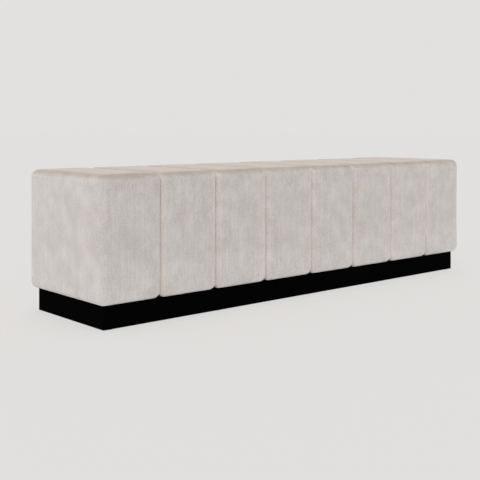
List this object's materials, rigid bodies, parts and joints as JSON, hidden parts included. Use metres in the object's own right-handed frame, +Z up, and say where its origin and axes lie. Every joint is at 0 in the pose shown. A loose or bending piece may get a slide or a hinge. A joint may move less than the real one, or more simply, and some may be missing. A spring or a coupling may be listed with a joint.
{
  "type": "ottoman",
  "caption": "Long upholstered ottoman with channelled rounded panels on a recessed black plinth, used as a low bench or footstool.",
  "frame": {"origin": "on the floor, under the middle of the ottoman", "axes": "+X along the length, +Y from front to back, +Z up"},
  "size_m": [1.7636, 0.444, 0.462],
  "materials": {
    "upholstery": "brushed short-pile velvet, greige, with cloudy pile marks",
    "foam": "open-cell upholstery foam",
    "strip_tape": "woven cotton tape",
    "dust_cloth": "black non-woven cloth",
    "plywood": "raw birch plywood",
    "timber": "planed softwood",
    "dowel_wood": "raw beech",
    "plinth_paint": "fibreboard painted black, low sheen",
    "glide_nylon": "moulded nylon",
    "zinc_steel": "zinc-plated steel"
  },
  "bodies": {
    "root": {"cover_1": "upholstery", "cover_2": "upholstery", "cover_3": "upholstery", "cover_4": "upholstery", "cover_5": "upholstery", "cover_6": "upholstery", "cover_7": "upholstery", "cover_8": "upholstery", "foam_saddle_1": "foam", "foam_saddle_2": "foam", "foam_saddle_3": "foam", "foam_saddle_4": "foam", "foam_saddle_5": "foam", "foam_saddle_6": "foam", "foam_saddle_7": "foam", "foam_saddle_8": "foam", "pull_strip_1": "strip_tape", "pull_strip_2": "strip_tape", "pull_strip_3": "strip_tape", "pull_strip_4": "strip_tape", "pull_strip_5": "strip_tape", "pull_strip_6": "strip_tape", "pull_strip_7": "strip_tape", "rib_1": "plywood", "rib_2": "plywood", "rib_3": "plywood", "rib_4": "plywood", "rib_5": "plywood", "rib_6": "plywood", "rib_7": "plywood", "plinth_brace_1": "timber", "plinth_brace_2": "timber", "plinth_brace_3": "timber", "plinth_brace_4": "timber", "left_end_pad": "foam", "right_end_pad": "foam", "dust_cover": "dust_cloth", "front_panel": "plywood", "rear_panel": "plywood", "left_end_panel": "plywood", "right_end_panel": "plywood", "deck_panel": "plywood", "front_rail": "timber", "rear_rail": "timber", "left_rail": "timber", "right_rail": "timber", "rail_dowels": "dowel_wood", "corner_posts": "timber", "plinth_front_board": "plinth_paint", "plinth_rear_board": "plinth_paint", "plinth_left_board": "plinth_paint", "plinth_right_board": "plinth_paint", "corner_blocks": "timber", "floor_glides": "glide_nylon", "frame_screws": "zinc_steel", "block_screws": "zinc_steel", "body_bolts": "zinc_steel", "bolt_washers": "zinc_steel", "tee_nuts": "zinc_steel"}
  },
  "joints": []
}
